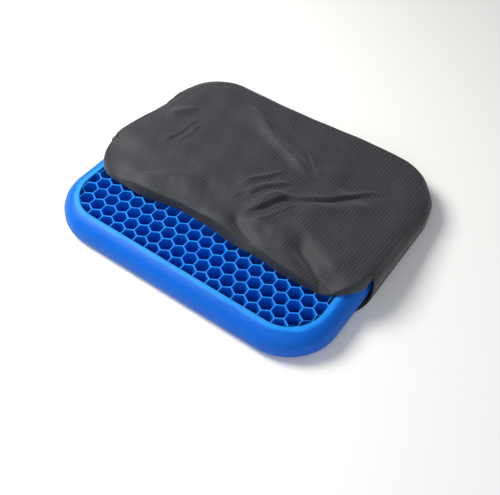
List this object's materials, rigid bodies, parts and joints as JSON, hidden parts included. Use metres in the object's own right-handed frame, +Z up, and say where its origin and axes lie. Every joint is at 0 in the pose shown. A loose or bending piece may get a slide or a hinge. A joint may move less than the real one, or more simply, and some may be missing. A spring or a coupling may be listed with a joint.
{
  "type": "gel seat cushion",
  "caption": "Honeycomb gel seat cushion with a solid round-edged rim, drawn part of the way out of its soft zip cover.",
  "frame": {"origin": "on the surface that the cushion lies on, under the centre of the gel pad", "axes": "+X across the seat, to the sitter's left as they face forward; +Y from the open mouth towards the closed back of the cover; +Z up"},
  "size_m": [0.4354, 0.375, 0.0541],
  "materials": {
    "gel": "satin, slightly translucent blue gel",
    "dotted_cloth": "charcoal knit with small pale grip dots",
    "mesh_cloth": "black mesh",
    "zip_tape": "black woven tape",
    "zip_teeth": "black moulded plastic",
    "zip_metal": "black lacquer over zinc"
  },
  "bodies": {
    "cover": {"cover_top_panel": "dotted_cloth", "cover_bottom_panel": "mesh_cloth", "mouth_cuff": "dotted_cloth", "right_wall": "mesh_cloth", "left_wall": "mesh_cloth", "back_wall": "mesh_cloth", "left_upper_strip": "mesh_cloth", "left_lower_strip": "mesh_cloth", "lower_lip": "mesh_cloth", "zip_tape_upper": "zip_tape", "zip_tape_lower": "zip_tape", "zip_edge_upper_front": "zip_tape", "zip_edge_lower_front": "zip_tape", "zip_teeth_upper": "zip_teeth", "zip_teeth_lower": "zip_teeth", "zip_end_stop": "zip_teeth"},
    "pad": {"gel_pad": "gel"},
    "slider": {"zip_slider": "zip_metal"},
    "pull": {"zip_pull": "zip_metal"}
  },
  "joints": [
    {"name": "pad_slide", "type": "slide", "parent": "cover", "child": "pad", "axis": [0, -1, 0], "range_m": [0, 0.3]},
    {"name": "zip_run", "type": "slide", "parent": "cover", "child": "slider", "axis": [0, -1, 0], "range_m": [0, 0.06]},
    {"name": "pull_flip", "type": "hinge", "parent": "slider", "child": "pull", "pos_m": [-0.21815, 0.0977, 0.0198], "axis": [0, 0, 1], "range_deg": [0, 175]}
  ]
}
